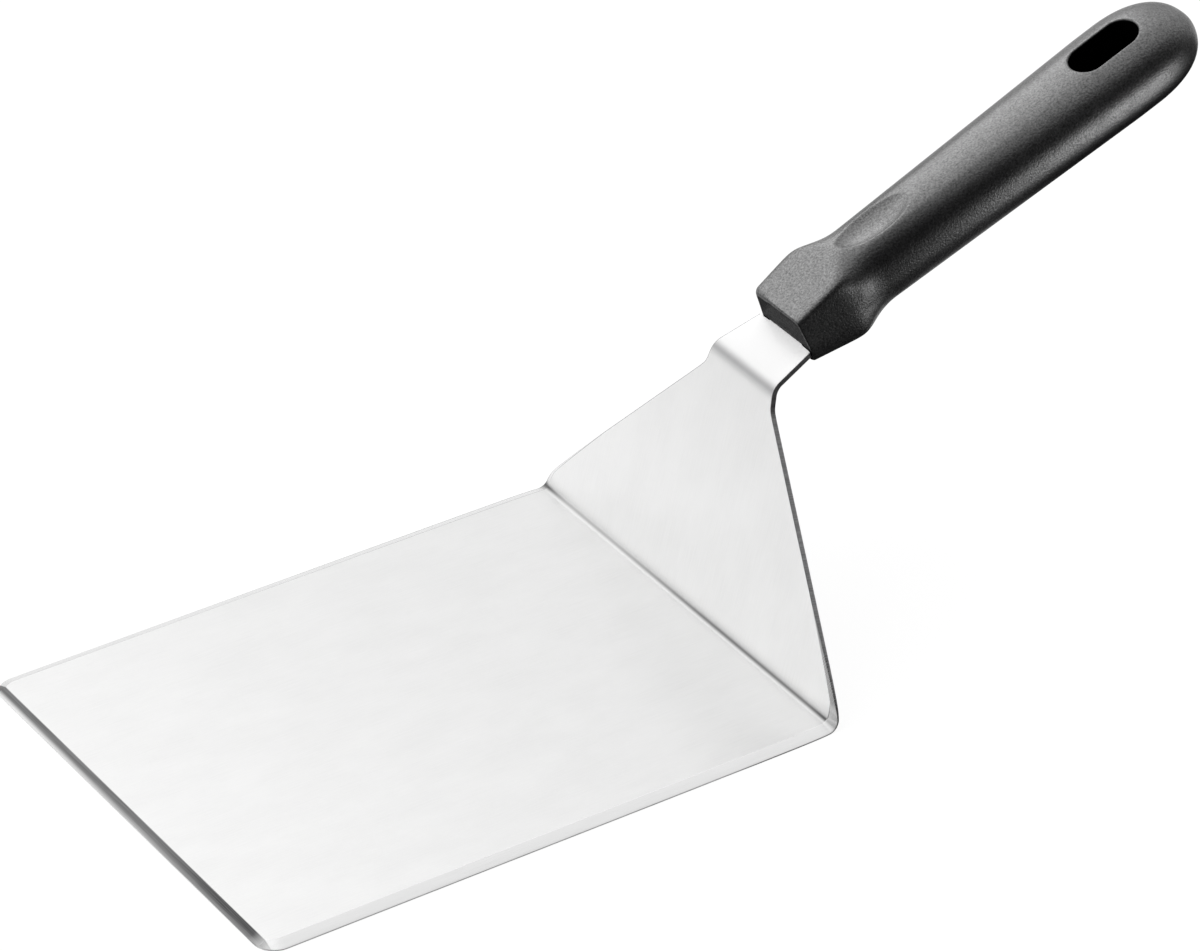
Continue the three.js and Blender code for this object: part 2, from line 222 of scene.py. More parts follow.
def make_object(name, points, faces, material, node):
    """A smooth shaded piece at the origin, which rides the one body and stands for a CAD node."""
    mesh = bpy.data.meshes.new(name)
    mesh.from_pydata(points.tolist(), [], faces)
    mesh.validate()
    mesh.polygons.foreach_set("use_smooth", np.ones(len(mesh.polygons), dtype=bool))
    mesh.materials.append(material)
    mesh.update()
    piece = bpy.data.objects.new(name, mesh)
    bpy.context.scene.collection.objects.link(piece)
    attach(piece, "root")
    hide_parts(node)
    return mesh


def keep_mask(mesh, name, values):
    """Keeps one number for each point of the mesh, for its material to read."""
    kept = mesh.attributes.new(name, "FLOAT", "POINT")
    kept.data.foreach_set("value", np.ascontiguousarray(values, dtype=np.float32).reshape(-1))


# Shape of the steel sheet

# The tang's shoulders stop this far before the handle's front face.
HELD_GAP = 0.1 * MM
# Rounding of the bevels' creases, of the cut edges, and of the crease along the front.
CREASE = 0.15 * MM
EDGE_SOFTNESS = 0.1 * MM
FRONT_CREASE = CREASE / 3
# The sections lie closer together on this much of the blade before the fold.
FINE_BEFORE_FOLD = 20 * MM
# Sections at the front corners, at the front bevel's crease and at the held tang's round end.
CORNER_SECTIONS = 22
CREASE_SECTIONS = 5
END_SECTIONS = 10
# Their places keep this many digits of a metre, and those nearer than this are one.
PLACE_DIGITS = 7
SAME_PLACE = 2e-6
# A line of points runs along the rim at this share of the bevel's width.
RIM_LINE_START = 0.86

# Points of half a section, and the numbers at which the crease, the rim and the underside begin.
TURN_POINTS = 5
FACE_POINTS = 16
MID_TURN = TURN_POINTS // 2
CREASE_FIRST = FACE_POINTS
RIM_FIRST = CREASE_FIRST + TURN_POINTS + 1
UNDER_FIRST = RIM_FIRST + TURN_POINTS
HALF_POINTS = UNDER_FIRST + TURN_POINTS + FACE_POINTS


def bend_reaches(s):
    """Distances from the fold line and from the bend line to the ends of their arcs."""
    fold = s.fold_radius * math.tan(s.fold_angle / 2)
    bend = s.bend_radius * math.tan((s.fold_angle - s.tang_angle) / 2)
    return fold, bend


def sheet_line(place, s):
    """The sheet's upper face in the middle plane, at distances along the sharp lines where its flats
    would meet: blade, fold arc, riser, bend arc and tang. Gives the points, the normals, and how far
    the bend has turned."""
    fold_reach, bend_reach = bend_reaches(s)
    past_fold = place - s.blade_length
    past_bend = past_fold - s.riser_length
    fold_share = np.clip((past_fold + fold_reach) / (2 * fold_reach), 0, 1)
    bend_share = np.clip((past_bend + bend_reach) / (2 * bend_reach), 0, 1)
    slope = s.fold_angle * fold_share + (s.tang_angle - s.fold_angle) * bend_share
    fold = np.array([s.blade_length / 2, s.sheet])
    riser = np.array([math.cos(s.fold_angle), math.sin(s.fold_angle)])
    tang = np.array([math.cos(s.tang_angle), math.sin(s.tang_angle)])
    bend = fold + riser * s.riser_length
    fold_centre = fold + np.array([-fold_reach, s.fold_radius])
    bend_centre = bend - riser * bend_reach + np.array([riser[1], -riser[0]]) * s.bend_radius
    normal = np.stack([-np.sin(slope), np.cos(slope)], axis=-1)
    stretches = [
        fold + np.stack([past_fold, np.zeros_like(place)], axis=-1),
        fold_centre - s.fold_radius * normal,
        fold + past_fold[:, None] * riser,
        bend_centre + s.bend_radius * normal,
        bend + past_bend[:, None] * tang,
    ]
    ends = [
        past_fold < -fold_reach, past_fold < fold_reach,
        past_bend < -bend_reach, past_bend < bend_reach,
    ]
    point = np.select([end[:, None] for end in ends], stretches[:4], stretches[4])
    return point, normal, bend_share


def sheet_half_width(place, s):
    """Half the sheet's width: the blade with round front corners, the slanted sides of the riser
    joined to it and to the tapered tang by hyperbolas, and the narrower held tang with round
    corners."""
    blade = s.blade_width / 2
    held = s.held_width / 2
    handle_place = s.blade_length + s.riser_length + s.tang_shown
    slant_place = s.blade_length + s.slant_start
    step_place = handle_place - HELD_GAP
    slant = blade - math.tan(s.slant_angle) * (place - slant_place)
    side = (blade + slant) / 2 - np.hypot((blade - slant) / 2, s.slant_rounding)
    tang = s.tang_width / 2 + s.tang_taper * (handle_place - place)
    outer = (side + tang) / 2 + np.hypot((side - tang) / 2, s.shoulder_rounding)
    step = np.clip((place - step_place) / s.shoulder_slope + 1, 0, 1)
    shown = outer * (1 - step) + held * step - corner_inset(place, s.corner_radius)
    end = held - corner_inset(handle_place + s.held_length - place, s.held_radius)
    return np.where(place <= step_place, shown, end)


def sheet_places(s):
    """Distances of the sections along the sheet, close together at its corners, creases and bends."""
    fold_reach, bend_reach = bend_reaches(s)
    fold = s.blade_length
    bend = fold + s.riser_length
    step = bend + s.tang_shown - HELD_GAP
    end = bend + s.tang_shown + s.held_length
    # The places where the spacing changes, each with the number of sections of the run before it.
    stops = (
        (s.corner_radius, 0),
        (fold - FINE_BEFORE_FOLD, 24),
        (fold - fold_reach, 24),
        (fold + fold_reach, 19),
        (fold + s.bevel_step, 16),
        (fold + s.bevel_rise, 24),
        (bend - bend_reach, 60),
        (bend + bend_reach, 19),
        (step - s.shoulder_slope, 12),
        (step, 4),
        (end - s.held_radius, 12),
    )
    runs = [
        s.corner_radius * np.linspace(0, 1, CORNER_SECTIONS) ** 2,
        s.front_bevel + CREASE * np.linspace(-1, 1, CREASE_SECTIONS),
        end - s.held_radius * np.linspace(0, 1, END_SECTIONS) ** 2,
    ]
    for (start, _), (stop, count) in zip(stops, stops[1:]):
        runs.append(np.linspace(start, stop, count))
    places = np.unique(np.round(np.concatenate(runs), PLACE_DIGITS))
    keep = np.concatenate([[True], np.diff(places) > SAME_PLACE])
    return places[keep]


def bevel_left(place, s):
    """Share of the side bevels that is left: all along the blade, and none at the bevels' rise."""
    return np.clip(1 - (place - s.blade_length) / s.bevel_rise, 0, 1)


def sheet_section(place, s):
    """Half of the bevelled section at each place, as distances across and below the upper face: over
    the face, down the bevel and the cut edge, and back along the flat underside, with its corners
    softened. Past the fold the side bevels narrow, and then fade out."""
    rim = sheet_half_width(place, s)
    depth = s.sheet - s.edge_land - s.edge_break
    narrowing = np.clip(1 - (place - s.blade_length) / s.bevel_step, 0, 1)
    left = bevel_left(place, s)
    side_depth = s.riser_bevel_depth * left + (depth - s.riser_bevel_depth) * narrowing
    side_width = s.riser_bevel * left + (s.side_bevel - s.riser_bevel) * narrowing
    ahead = s.front_bevel - place
    front = depth * np.minimum((ahead + np.hypot(ahead, FRONT_CREASE)) / 2 / s.front_bevel, 1)
    rim_depth = np.maximum(side_depth, front) + s.edge_break
    face_edge = rim - side_width * (1 - front / depth) - s.edge_break
    zero = np.zeros_like(place)
    middle = np.stack([zero, front], axis=-1)
    face = np.stack([face_edge, front], axis=-1)
    rim_top = np.stack([rim, rim_depth], axis=-1)
    rim_low = np.stack([rim, zero + s.sheet], axis=-1)
    low = np.stack([zero, zero + s.sheet], axis=-1)
    face_turn = soft_corner(middle, face, rim_top, CREASE, TURN_POINTS)
    top_turn = soft_corner(face, rim_top, rim_low, EDGE_SOFTNESS, TURN_POINTS)
    low_turn = soft_corner(rim_top, rim_low, low, EDGE_SOFTNESS, TURN_POINTS)
    out = np.linspace(0, 1, FACE_POINTS, endpoint=False)[None, :, None]
    upper = middle[:, None] * (1 - out) + face_turn[:, :1] * out
    back = np.linspace(1, 0, FACE_POINTS, endpoint=False)[None, ::-1, None]
    lower = low_turn[:, -1:] * (1 - back) + low[:, None] * back
    rim_line = face_turn[:, -1:] + (top_turn[:, :1] - face_turn[:, -1:]) * RIM_LINE_START
    return np.concatenate([upper, face_turn, rim_line, top_turn, low_turn, lower], axis=1)


def sheet_surface(place, s):
    """The section and its mirror image, carried along the bent line of the sheet: each point lies on
    the line's normal by its depth. Gives a grid of points, one row for each place."""
    point, normal, _ = sheet_line(place, s)
    half = sheet_section(place, s)
    loop = np.concatenate([half, half[:, -2:0:-1] * np.array([-1, 1])], axis=1)
    spot = point[:, None] - normal[:, None] * loop[..., 1:]
    return np.stack([spot[..., 0], loop[..., 0], spot[..., 1]], axis=-1)


# Masks of the steel sheet, with its painted light and shade

# Painted shade of the fold: dark along a narrow core and a softer band, both less so in the far half.
FOLD_CORE_PLACE = 0.3 * MM
FOLD_CORE_WIDTH = 0.75 * MM
FOLD_SOFT_PLACE = 0.7 * MM
FOLD_SOFT_WIDTH = 1.7 * MM
FOLD_SOFT_SHARE = 0.22
FOLD_FAR = 0.52
FOLD_NEAR = 0.84
FOLD_NEARING = (-40 * MM, 20 * MM)
FOLD_ENDS = (53 * MM, 64 * MM)
FOLD_END_WIDENING = 0.5
# Painted shade across the bend: the middle of its bell curve past the bend line, and its width.
BEND_SHADE_PLACE = -0.7 * MM
BEND_SHADE_WIDTH = 1.5 * MM
# Painted shade: the fold's is weaker by this on the near bevel, whose crease has a line just past the fold.
NEAR_BEVEL_RELIEF = 0.65
NEAR_CREASE_LINE = 0.8
NEAR_CREASE_START = (0, 1 * MM)
NEAR_CREASE_END = (2.5 * MM, 5 * MM)
# How dark the far side's thin lines of painted shade are, along the bevel's crease and along the rim.
FAR_CREASE_LINE = 0.25
FAR_RIM_LINE = 0.9
FAR_START = 1 * MM
# The front bevel's painted shade is lighter over this share of its width at the edge: by the near
# share on the near side, and by so much more on the far side.
FRONT_SHADE_LIGHTER_SHARE = 0.55
FRONT_SHADE_LIGHTER_NEAR = 0.18
FRONT_SHADE_LIGHTER_MORE = 0.6
FRONT_SHADE_LIGHTER_TURN = (-40 * MM, 60 * MM)
# Its painted shade is full on the near side, and much lighter at the near corner.
FRONT_SHADE_FAR = 0.9
FRONT_SHADE_NEARING = (10 * MM, 45 * MM)
CORNER_SHADE_RELIEF = 0.7
CORNER_STRETCH = (58 * MM, 63 * MM)
# Share of the bend's turn at which the tang's painted light starts: a nearly matte, near white colour.
TANG_LIGHT_START = 0.3


def bell(value, middle, width):
    """The bell curve exp(-t^2) of the distance from the middle in widths."""
    return np.exp(-((value - middle) / width) ** 2)


def fold_shade(past_fold, across):
    """How dark the fold's painted shade is: a narrow bell curve along the sheet, and a wide one on the
    riser's side. The wide one widens towards the ends of the fold, and both are darker there and on the near
    side."""
    ends = smooth_step(np.abs(across), *FOLD_ENDS)
    core = bell(past_fold, FOLD_CORE_PLACE, FOLD_CORE_WIDTH)
    soft = bell(past_fold, FOLD_SOFT_PLACE, FOLD_SOFT_WIDTH * (1 + FOLD_END_WIDENING * ends))
    shade = (1 - FOLD_SOFT_SHARE) * core + FOLD_SOFT_SHARE * soft
    level = FOLD_FAR + (FOLD_NEAR - FOLD_FAR) * smooth_step(-across, *FOLD_NEARING)
    return shade * (level + (1 - level) * ends)


def front_bevel_painted_shade(place, across, s):
    """How dark the front bevel's painted shade is: less towards its edge, more so on the far side, and
    hardly any at the near corner."""
    ahead = s.front_bevel - place
    low_down = 1 - smooth_step(place, 0, FRONT_SHADE_LIGHTER_SHARE * s.front_bevel)
    less = FRONT_SHADE_LIGHTER_NEAR + FRONT_SHADE_LIGHTER_MORE * smooth_step(across, *FRONT_SHADE_LIGHTER_TURN)
    ground = FRONT_SHADE_FAR + (1 - FRONT_SHADE_FAR) * smooth_step(-across, *FRONT_SHADE_NEARING)
    ground = ground * (1 - CORNER_SHADE_RELIEF * smooth_step(-across, *CORNER_STRETCH))
    return smooth_step(ahead, -CREASE, CREASE) * (1 - less * low_down) * ground


def sheet_masks(place, points, s):
    """For each point of the sheet's grid how far it is bevel, front bevel of painted shade, cut edge of
    painted shade, fold of painted shade, bend of painted shade and tang of painted light. Thin lines of
    painted shade on the far side and at the near end count as fold shade."""
    number = np.arange(HALF_POINTS)
    number = np.concatenate([number, number[-2:0:-1]])[None, :]
    bend_share = sheet_line(place, s)[2][:, None]
    across = points[..., 1]
    place = place[:, None]
    past_fold = place - s.blade_length
    left = bevel_left(place, s)
    far = smooth_step(across, 0, FAR_START)
    upper = number < UNDER_FIRST
    bevel = (number >= CREASE_FIRST + MID_TURN) & upper
    edge = (number >= UNDER_FIRST - MID_TURN - 1) & (number <= UNDER_FIRST + MID_TURN)
    crease = (number > CREASE_FIRST) & (number < CREASE_FIRST + TURN_POINTS - 1)
    rim = (number >= RIM_FIRST) & upper
    fold = fold_shade(past_fold, across) * (1 - NEAR_BEVEL_RELIEF * bevel * (1 - far))
    beside = smooth_step(past_fold, *NEAR_CREASE_START) * (1 - smooth_step(past_fold, *NEAR_CREASE_END))
    near_line = NEAR_CREASE_LINE * crease * beside * (1 - far)
    crease_share = FAR_CREASE_LINE * left + FAR_RIM_LINE * (1 - left)
    far_line = (crease_share * crease + FAR_RIM_LINE * rim) * far
    far_line = far_line * smooth_step(place, s.corner_radius, s.blade_length)
    masks = {
        "bevel": bevel * left,
        "front": front_bevel_painted_shade(place, across, s),
        "edge": edge,
        # Painted shade of the fold, with its thin lines along the crease and the rim.
        "fold": upper * np.maximum(np.maximum(fold, near_line), far_line),
        # Painted shade across the bend.
        "bend": upper * bell(past_fold - s.riser_length, BEND_SHADE_PLACE, BEND_SHADE_WIDTH),
        "tang": (number < CREASE_FIRST + MID_TURN) * smooth_step(bend_share, TANG_LIGHT_START, 1),
    }
    return {name: np.broadcast_to(values, across.shape) for name, values in masks.items()}


# Shape of the handle

# Tilt above the side, distance from the axis at the front face, and growth along the axis.
BOLSTER_FACETS = (
    (90.0, 7.1 * MM, 0.213),
    (8.6, 10.55 * MM, 0.076),
    (-49.5, 11.04 * MM, 0.191),
    (-90.0, 6.58 * MM, 0.199),
)
BOLSTER_RELEASE = 0.4
RELEASE_ROUNDING = 3 * MM
CREASE_SHARPNESS = 15
DIMPLE_RIM = 0.06 * MM
# Depth of the dimple as a share of half its ellipsoid's height.
DIMPLE_CAP = 0.5
# Stands for the dimple's floor where there is no dimple.
NO_FLOOR = 1.0
# The dimple is cut above this sine of the turn, and its rim is rounded within this of the floor.
DIMPLE_SINE = 0.5
DIMPLE_REACH = 10 * DIMPLE_RIM
# The front edge break is larger by this many times itself on the far upper side, and grows to that
# over these cosines and sines of the turn.
FAR_BREAK = 2.2
FAR_BREAK_SIDE = (0.3, 0.8)
FAR_BREAK_HEIGHT = (-0.8, -0.3)
# Share of the grip's size that each flare adds, and where it is full and where it ends.
UPPER_FLARE = (0.35, 13 * MM, 25.8 * MM)
LOWER_FLARE = (0.367, 15 * MM, 27.4 * MM)
FLARE_BLEND = (0.12, 0.48)
HANDLE_SIDES = 240
TOP_SIDE = HANDLE_SIDES // 4
WINDOW_SIDES = 24
WINDOW_MARGIN = 2.6 * MM
RIM_STEPS = 6
FACE_STEPS = 7
BISECTIONS = 40
# Rings of the pocket's end, the front edge break, the bolster and dimple, the grip, the slot's
# window and the closing tip.
POCKET_RINGS = 6
BREAK_RINGS = 5
FINE_RINGS = 118
GRIP_RINGS = 28
WINDOW_RINGS = 34
TIP_RINGS = 30
# The rings lie closer together up to here, past the bolster and the dimple.
FINE_END = 46 * MM
# The last ring lies this far before the tip.
TIP_GAP = 1e-7


def flare(along, sizes):
    """The square of the distance left to the flare's end, as a share of its full size."""
    full, start, end = sizes
    return full * (np.maximum(end - along, 0) / (end - start)) ** 2


def handle_radius(along, turn, h):
    """Distance from the axis to the handle's skin: the nearest of the flared superellipse of the
    grip and the planes of the bolster's facets, joined by a power mean that rounds the creases,
    times the share of the section that the closing end keeps. Behind the bolster the facets let go
    along a rounded slope."""
    cosine = np.abs(np.cos(turn))
    sine = np.sin(turn)
    taper = np.clip((along - h.neck_place) / (h.widest - h.neck_place), 0, 1)
    half = (h.neck_width + (h.end_width - h.neck_width) * taper) / 2
    power = h.squareness
    grip = ((cosine / half) ** power + (np.abs(sine) / (h.grip_height / 2)) ** power) ** (-1 / power)
    low = smooth_step(-sine, *FLARE_BLEND)
    widened = 1 + flare(along, UPPER_FLARE) * (1 - low) + flare(along, LOWER_FLARE) * low
    total = (grip * widened) ** -CREASE_SHARPNESS
    past = np.maximum(along - h.bolster_length + RELEASE_ROUNDING / 2, 0)
    release = BOLSTER_RELEASE * past ** 2 / (past + RELEASE_ROUNDING)
    for tilt, distance, growth in BOLSTER_FACETS:
        facing = cosine * math.cos(math.radians(tilt)) + sine * math.sin(math.radians(tilt))
        nearness = np.maximum(facing, 0) / (distance + growth * along + release)
        total = total + nearness ** CREASE_SHARPNESS
    closing = np.clip((along - h.length + h.end_rounding) / h.end_rounding, 0, 1)
    kept = (1 - closing ** h.end_fullness) ** (1 / h.end_fullness)
    return total ** (-1 / CREASE_SHARPNESS) * kept


def dimple_floor(along, across, h):
    """Height of the thumb dimple: the lower cap of an ellipsoid that has its length, width and depth,
    and far above the handle outside it."""
    rim = math.sqrt(1 - (1 - DIMPLE_CAP) ** 2)
    rise = h.dimple_depth / DIMPLE_CAP
    x = (along - h.dimple_place) / (h.dimple_length / 2 / rim)
    y = across / (h.dimple_width / 2 / rim)
    inside = 1 - x ** 2 - y ** 2
    level = h.grip_height / 2 + rise - h.dimple_depth
    return np.where(inside > 0, level - rise * np.sqrt(np.maximum(inside, 0)), NO_FLOOR)


def handle_point(along, turn, h):
    """A point of the handle's skin in the handle's own frame. On top the lower of the skin and the
    dimple's floor holds, with a small rounding of the rim."""
    radius = handle_radius(along, turn, h)
    across = radius * np.cos(turn)
    height = radius * np.sin(turn)
    floor = dimple_floor(along, across, h)
    gap = height - floor
    lowered = (height + floor - np.hypot(gap, DIMPLE_RIM)) / 2
    near_top = (np.sin(turn) > DIMPLE_SINE) & (floor < NO_FLOOR) & (gap > -DIMPLE_REACH)
    return np.stack([along + 0 * turn, across, np.where(near_top, lowered, height)], axis=-1)


def turn_at(along, across, h):
    """The angle on the upper side at which the skin has a given distance across, by bisection."""
    low = np.zeros_like(across)
    high = np.full_like(across, QUARTER)
    for _ in range(BISECTIONS):
        middle = (low + high) / 2
        wide = handle_radius(along, middle, h) * np.cos(middle) > np.abs(across)
        low = np.where(wide, middle, low)
        high = np.where(wide, high, middle)
    return np.where(across < 0, math.pi - low, low)


def slot_reach(direction, h, grown):
    """Distance from the slot's middle to its outline in a direction, with the outline grown outwards:
    along the straight sides the half width over the sine, and else the far side of the end circle."""
    radius = h.slot_width / 2 + grown
    half = (h.slot_length - h.slot_width) / 2
    cosine = np.abs(np.cos(direction))
    sine = np.abs(np.sin(direction))
    straight = radius / np.maximum(sine, TINY)
    curved = half * cosine + np.sqrt(np.maximum(radius ** 2 - (half * sine) ** 2, 0))
    return np.where(straight * cosine <= half, straight, curved)


def slot_patch(loop, h):
    """The skin from a window in the handle's top down through the slot. On each side the rows run
    from the window to the slot's grown outline over the skin, and then round its rim. Gives the
    points and how far each has turned into the slot."""
    x = loop[:, 0] - h.slot_place
    direction = np.arctan2(loop[:, 1], x)
    rows = []
    outer = slot_reach(direction, h, h.slot_rim)
    start = np.hypot(x, loop[:, 1])
    for step in np.linspace(0, 1, RIM_STEPS)[1:]:
        rows.append((start + (outer - start) * step, 0.0))
    for bend in np.linspace(0, QUARTER, RIM_STEPS)[1:]:
        grown = h.slot_rim * (1 - math.sin(bend))
        rows.append((slot_reach(direction, h, grown), h.slot_rim * (1 - math.cos(bend))))
    upper = []
    lower = []
    inside = []
    for reach, sunk in rows:
        inside.append(np.full(len(loop), sunk / h.slot_rim))
        along = h.slot_place + reach * np.cos(direction)
        across = reach * np.sin(direction)
        turn = turn_at(along, across, h)
        height = handle_radius(along, turn, h) * np.sin(turn) - sunk
        depth = handle_radius(along, -turn, h) * np.sin(turn) - sunk
        upper.append(np.stack([along, across, height], axis=-1))
        lower.append(np.stack([along, across, -depth], axis=-1))
    return np.stack(upper + lower[::-1]), np.stack(inside + inside[::-1])


def handle_places(h):
    """Distances of the rings along the handle, close together at the bolster, the dimple, the slot
    and the closing end, with the numbers of the two rings that bound the slot's window."""
    first = h.slot_place - h.slot_length / 2 - WINDOW_MARGIN
    last = h.slot_place + h.slot_length / 2 + WINDOW_MARGIN
    start = h.front_break
    round_in = start * (1 - np.cos(np.linspace(0, QUARTER, BREAK_RINGS)))
    fine = np.linspace(start, FINE_END, FINE_RINGS)[1:]
    grip = np.linspace(FINE_END, first, GRIP_RINGS)[1:]
    before = np.concatenate([round_in, fine, grip])
    window = np.linspace(first, last, WINDOW_RINGS)[1:]
    to_tip = last + (h.length - last) * np.sin(np.linspace(0, QUARTER, TIP_RINGS))
    places = np.concatenate([before, window, to_tip[1:-1], [h.length - TIP_GAP]])
    return places, len(before) - 1, len(before) + len(window) - 1


def pocket_rings(turns, s, h):
    """Rings of the pocket for the tang: a rectangle, given by its distance from its own middle in
    each direction, from the pocket's end, where round corners narrow it, to its mouth."""
    level = -h.axis_above - s.sheet / 2
    half_width = s.held_width / 2 + h.clearance
    half_height = s.sheet / 2 + h.clearance
    reach = np.minimum(half_width / np.maximum(np.abs(np.cos(turns)), TINY),
                       half_height / np.maximum(np.abs(np.sin(turns)), TINY))
    end = s.held_length + h.clearance
    corner = s.held_radius + h.clearance
    rings = []
    rounded = end - corner * np.linspace(0, 1, POCKET_RINGS)[::-1] ** 2
    for place in np.concatenate([rounded, [end / 2, 0]]):
        narrow = 1 - corner_inset(np.array(end - place), corner) / half_width
        across = reach * np.cos(turns) * narrow
        rings.append(np.stack([place + 0 * turns, across, level + reach * np.sin(turns)], axis=-1))
    return rings


def break_front(skin, places, turns, h):
    """Draws the skin in round the front face by a quarter circle, larger on the far upper side."""
    far = smooth_step(np.cos(turns), *FAR_BREAK_SIDE) * smooth_step(np.sin(turns), *FAR_BREAK_HEIGHT)
    reach = h.front_break * (1 + far * FAR_BREAK)
    short = np.clip(reach[None, :] - places[:, None], 0, None)
    drawn = reach - np.sqrt(reach ** 2 - np.minimum(short, reach) ** 2)
    radial = np.hypot(skin[..., 1], skin[..., 2])
    skin[..., 1:] *= (1 - drawn / np.maximum(radial, TINY))[..., None]
    return skin


def without_windows(quads, first, last):
    """Leaves out the quads of the rings' grid inside the upper and the lower window."""
    row = quads[:, 0] // HANDLE_SIDES
    column = quads[:, 0] % HANDLE_SIDES
    upper = (column >= TOP_SIDE - WINDOW_SIDES) & (column < TOP_SIDE + WINDOW_SIDES)
    lower = (column >= 3 * TOP_SIDE - WINDOW_SIDES) & (column < 3 * TOP_SIDE + WINDOW_SIDES)
    return quads[~((row >= first) & (row < last) & (upper | lower))]


def window_loops(first, last):
    """Numbers of the points round the upper window, and of those below them round the lower one."""
    start = TOP_SIDE - WINDOW_SIDES
    end = TOP_SIDE + WINDOW_SIDES
    rows = np.concatenate([
        np.full(end - start, first), np.arange(first, last),
        np.full(end - start, last), np.arange(last, first, -1),
    ])
    sides = np.concatenate([
        np.arange(start, end), np.full(last - first, end),
        np.arange(end, start, -1), np.full(last - first, start),
    ])
    upper = rows * HANDLE_SIDES + sides
    lower = rows * HANDLE_SIDES + (HANDLE_SIDES - sides) % HANDLE_SIDES
    return upper, lower


def handle_surface(s, h):
    """One skin in the handle's frame: the pocket, the front face, the rings of the outside and the
    closed tip, with a window above and below for the slot's patch. Gives the points, how far each
    has turned into the slot, the quads, and the fans of triangles at the two poles."""
    turns = np.arange(HANDLE_SIDES) * (2 * math.pi / HANDLE_SIDES)
    places, first, last = handle_places(h)
    skin = break_front(handle_point(places[:, None], turns[None, :], h), places, turns, h)
    pocket = pocket_rings(turns, s, h)
    mouth = pocket[-1]
    face = [mouth + (skin[0] - mouth) * step for step in np.linspace(0, 1, FACE_STEPS)[1:-1]]
    rings = np.concatenate([np.stack(pocket + face), skin])
    count = len(rings)
    first = first + len(pocket) + len(face)
    last = last + len(pocket) + len(face)
    quads = without_windows(grid_quads(count, HANDLE_SIDES, True), first, last)
    upper_loop, lower_loop = window_loops(first, last)
    grid = rings.reshape(-1, 3)
    patch, inside_slot = slot_patch(grid[upper_loop], h)
    patch_numbers = len(grid) + np.arange(patch.shape[0] * patch.shape[1]).reshape(patch.shape[:2])
    numbers = np.concatenate([upper_loop[None], patch_numbers, lower_loop[None]])
    after = np.roll(numbers, -1, axis=1)
    patch_quads = np.stack([numbers[:-1], after[:-1], after[1:], numbers[1:]], axis=-1).reshape(-1, 4)
    pocket_pole = [s.held_length + h.clearance, 0, -h.axis_above - s.sheet / 2]
    tip_pole = [h.length, 0, 0]
    points = np.concatenate([grid, patch.reshape(-1, 3), [pocket_pole, tip_pole]])
    slot = np.concatenate([np.zeros(len(grid)), inside_slot.reshape(-1), np.zeros(2)])
    ring = np.arange(HANDLE_SIDES)
    following = np.roll(ring, -1)
    last_ring = (count - 1) * HANDLE_SIDES
    fans = np.concatenate([
        np.stack([following, ring, np.full_like(ring, len(points) - 2)], axis=-1),
        np.stack([last_ring + ring, last_ring + following, np.full_like(ring, len(points) - 1)], axis=-1),
    ])
    return points, slot, np.concatenate([quads, patch_quads]), fans


def used_only(points, slot, *groups):
    """Drops the points that no face uses, and numbers the faces' corners anew."""
    used = np.unique(np.concatenate([group.reshape(-1) for group in groups]))
    renumber = np.zeros(len(points), dtype=int)
    renumber[used] = np.arange(len(used))
    return points[used], slot[used], [renumber[group] for group in groups]


def place_handle(points, s, h):
    """Turns the handle's own frame up by the tang's angle and seats it on the tang's upper face."""
    seat = np.array([s.blade_length + s.riser_length + s.tang_shown])
    point, normal = sheet_line(seat, s)[:2]
    origin = point[0] + normal[0] * h.axis_above
    cosine, sine = math.cos(s.tang_angle), math.sin(s.tang_angle)
    x = origin[0] + points[:, 0] * cosine - points[:, 2] * sine
    z = origin[1] + points[:, 0] * sine + points[:, 2] * cosine
    return np.stack([x, points[:, 1], z], axis=-1)


# Painted shade of the handle, by taking away its shine

# How dull the front face and the break round it are, as painted shade, and how much of the break counts.
DULL_FACE = 1.0
DULL_BREAK = 0.6
DULL_BREAK_SHARE = 0.9
FACE_DEPTH = 1e-6
# How dull the lower side is on the bolster, as painted shade, how much more so on the grip, and where that
# begins.
DULL_BOLSTER = 0.5
DULL_GRIP_MORE = 0.47
GRIP_START = (20 * MM, 45 * MM)
LOWER_SIDE = (0.0, 0.36)
# The grip's shoulders: how dull they are, as painted shade, where they lie round the grip, and how they fade.
DULL_SHOULDER = 0.5
SHOULDER_FADE = 0.38
SHOULDER_FADE_START = 35 * MM
SHOULDER_FADE_LENGTH = 65 * MM
SHOULDER_SIDE = (0.41, 0.55)
SHOULDER_HEIGHT = (0.0, 0.25)
SHOULDER_START = (18 * MM, 28 * MM)


def handle_shine_shade(points, h):
    """How dull the plastic is at points of the handle's own frame, which paints shade by taking away its
    shine: most on the front face, less on the break round it, along the grip from its middle height
    downwards, and on the grip's shoulders, where it fades towards the end."""
    along = points[:, 0]
    radius = np.maximum(np.hypot(points[:, 1], points[:, 2]), TINY)
    side = np.abs(points[:, 1]) / radius
    height = points[:, 2] / radius
    below = DULL_BOLSTER + DULL_GRIP_MORE * smooth_step(along, *GRIP_START)
    below = below * smooth_step(-height, *LOWER_SIDE)
    on_break = np.where(along < DULL_BREAK_SHARE * h.front_break, DULL_BREAK, 0.0)
    face = np.where(along < FACE_DEPTH, DULL_FACE, on_break)
    fading = np.clip((along - SHOULDER_FADE_START) / SHOULDER_FADE_LENGTH, 0, 1)
    shoulder = smooth_step(side, *SHOULDER_SIDE) * smooth_step(height, *SHOULDER_HEIGHT)
    shoulder = shoulder * (DULL_SHOULDER - SHOULDER_FADE * fading) * smooth_step(along, *SHOULDER_START)
    return np.maximum(np.maximum(below, face), shoulder)


# Nodes


